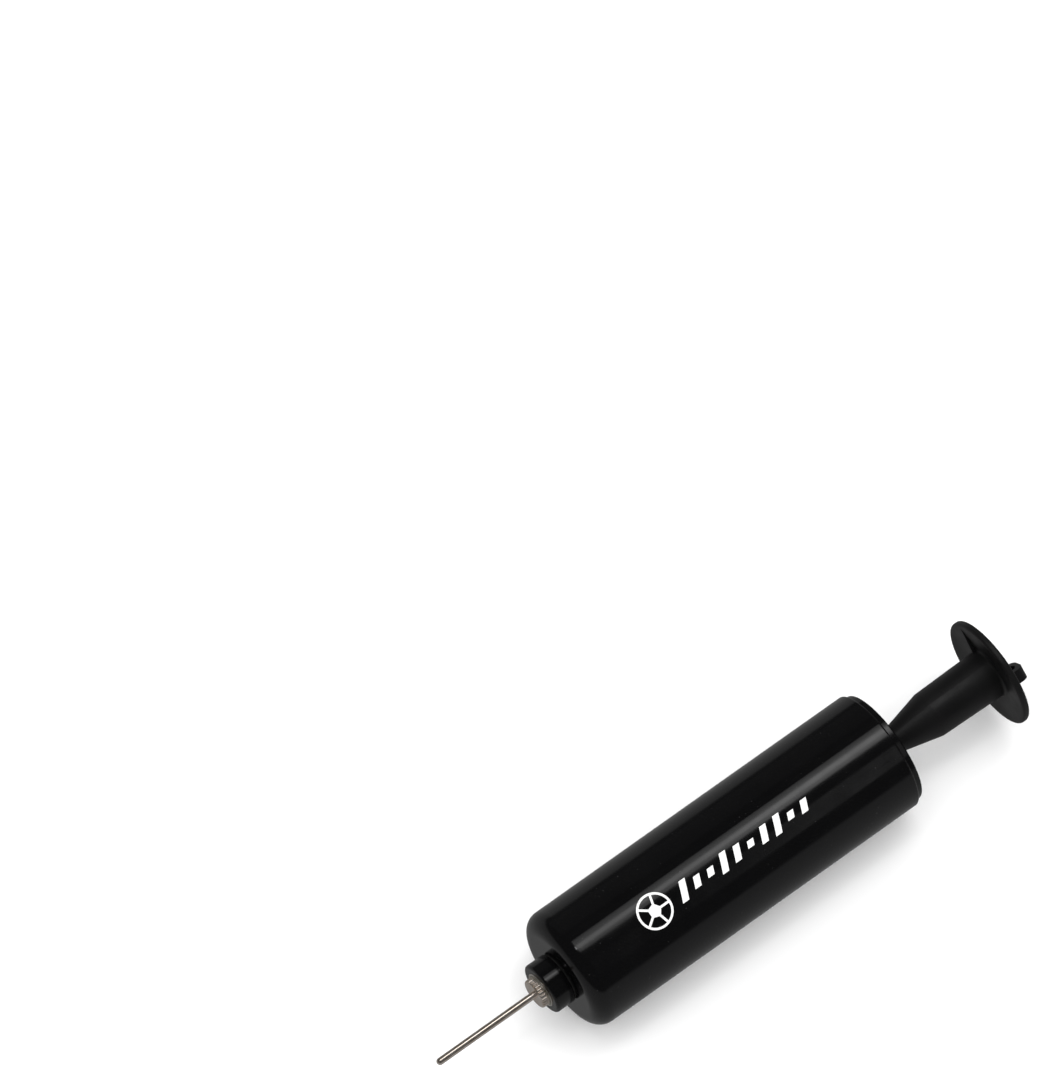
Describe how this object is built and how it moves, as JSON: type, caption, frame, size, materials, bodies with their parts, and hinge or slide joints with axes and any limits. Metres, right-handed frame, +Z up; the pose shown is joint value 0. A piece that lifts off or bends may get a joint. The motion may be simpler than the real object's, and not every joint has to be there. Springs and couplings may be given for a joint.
{
  "type": "ball inflation pump",
  "caption": "Small hand pump for sports balls: round barrel, plunger with a flat disc grip, and a hollow inflation needle screwed into its nozzle.",
  "frame": {"origin": "on the surface the pump lies on, below the middle of its length with the handle pushed in", "axes": "+X along the pump axis from the needle to the handle, +Z up, square to the axis"},
  "size_m": [0.1908, 0.0344, 0.0345],
  "materials": {
    "barrel_gloss": "high gloss black",
    "cap_gloss": "high gloss black",
    "handle_black": "satin black",
    "collar_gloss": "high gloss black",
    "rod_plastic": "satin black",
    "piston_plastic": "natural moulded",
    "bush_plastic": "natural acetal",
    "rubber_black": "soft",
    "needle_steel": "polished nickel plate",
    "insert_nickel": "nickel-plated brass",
    "zinc_steel": "zinc-plated",
    "ball_steel": "polished"
  },
  "bodies": {
    "barrel": {"barrel": "barrel_gloss", "end_cap": "cap_gloss", "rod_bush": "bush_plastic", "stop_bumper": "rubber_black", "nozzle_collar": "collar_gloss", "collar_seal": "rubber_black", "threaded_insert": "insert_nickel", "socket_gasket": "rubber_black", "valve_seat": "rubber_black", "check_spring": "zinc_steel"},
    "plunger": {"handle": "handle_black", "handle_pin": "zinc_steel", "piston_rod": "rod_plastic", "piston_head": "piston_plastic", "piston_cup": "rubber_black", "cup_washer": "zinc_steel", "piston_screw": "zinc_steel"},
    "needle_seat_washer": {"needle_washer": "insert_nickel"},
    "needle": {"needle_hub": "needle_steel", "needle_tube": "needle_steel"},
    "check_valve": {"check_ball": "ball_steel"}
  },
  "joints": [
    {"name": "plunger_slide", "type": "slide", "parent": "barrel", "child": "plunger", "axis": [1, 0, 0], "range_m": [0, 0.0685]},
    {"name": "needle_advance", "type": "slide", "parent": "barrel", "child": "needle_seat_washer", "axis": [-1, 0, 0], "range_m": [0, 0.00595]},
    {"name": "needle_turn", "type": "hinge", "parent": "needle_seat_washer", "child": "needle", "pos_m": [-0.07923, 0, 0.01725], "axis": [-1, 0, 0], "range_deg": [0, 2700]},
    {"name": "valve_lift", "type": "slide", "parent": "barrel", "child": "check_valve", "axis": [-1, 0, 0], "range_m": [0, 0.0012], "stiffness_N_per_m": 60, "springref_m": -0.002, "deforming": ["check_spring"]}
  ],
  "couplings": [
    {"joint": "needle_turn", "follows": "needle_advance", "rad_per_m": 7915.8}
  ]
}
